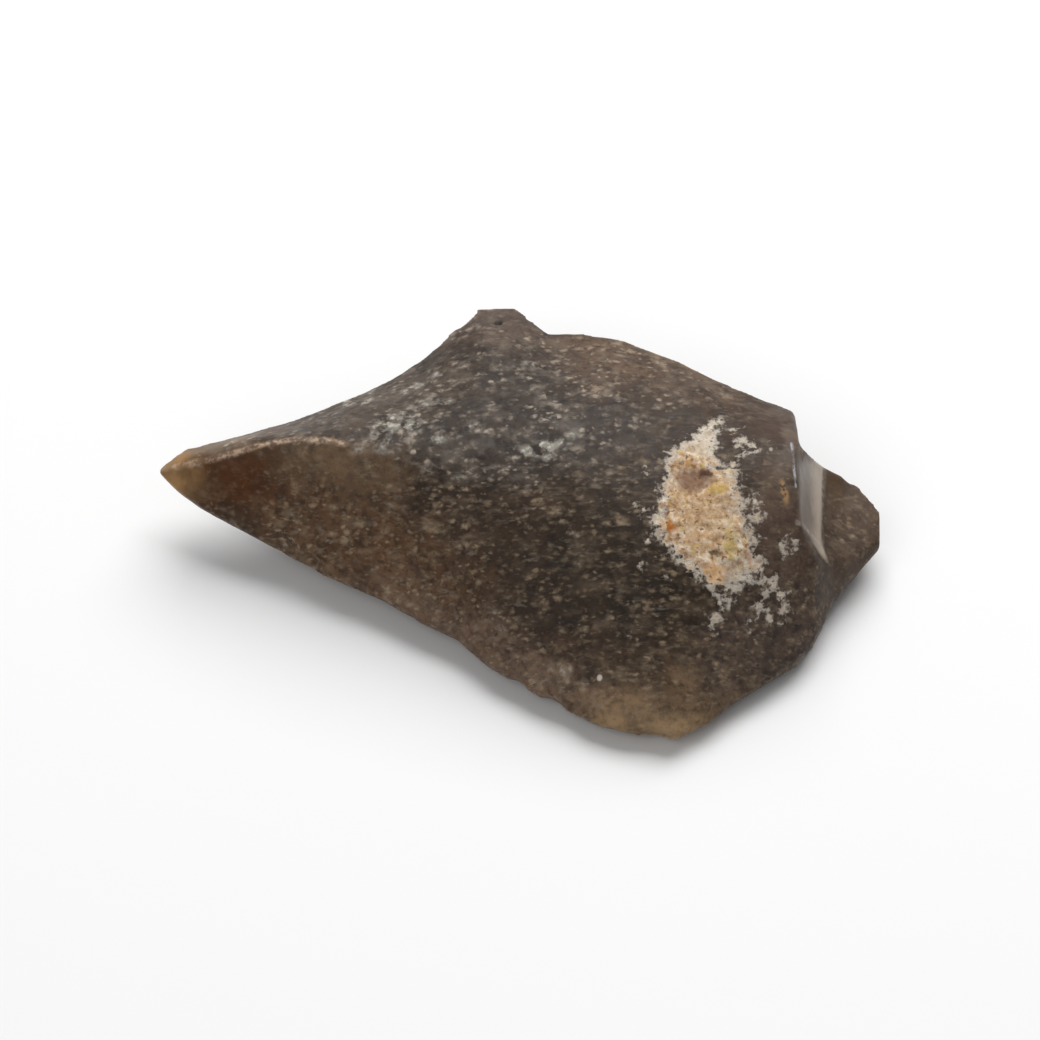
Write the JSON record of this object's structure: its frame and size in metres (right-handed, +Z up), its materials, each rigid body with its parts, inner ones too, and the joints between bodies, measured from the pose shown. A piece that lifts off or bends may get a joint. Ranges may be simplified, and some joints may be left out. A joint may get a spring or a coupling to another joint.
{
  "type": "flint flake",
  "caption": "Thick flake of dark flint struck from a nodule, with a soft dorsal ridge, a blunt knobbed back, thin edges and a small patch of chalky cortex.",
  "frame": {"origin": "below the centre of the flake's bounding box, on the plane it rests on", "axes": "+X from the thin tip to the broken end, +Y from the long thin edge to the blunt back, +Z up from the flat resting spot of the ventral face"},
  "size_m": [0.055, 0.0374, 0.0118],
  "materials": {
    "flint": "waxy semi-matte dark grey-brown flint with pale specks and a cream cortex patch"
  },
  "bodies": {
    "root": {"flint_flake": "flint"}
  },
  "joints": []
}
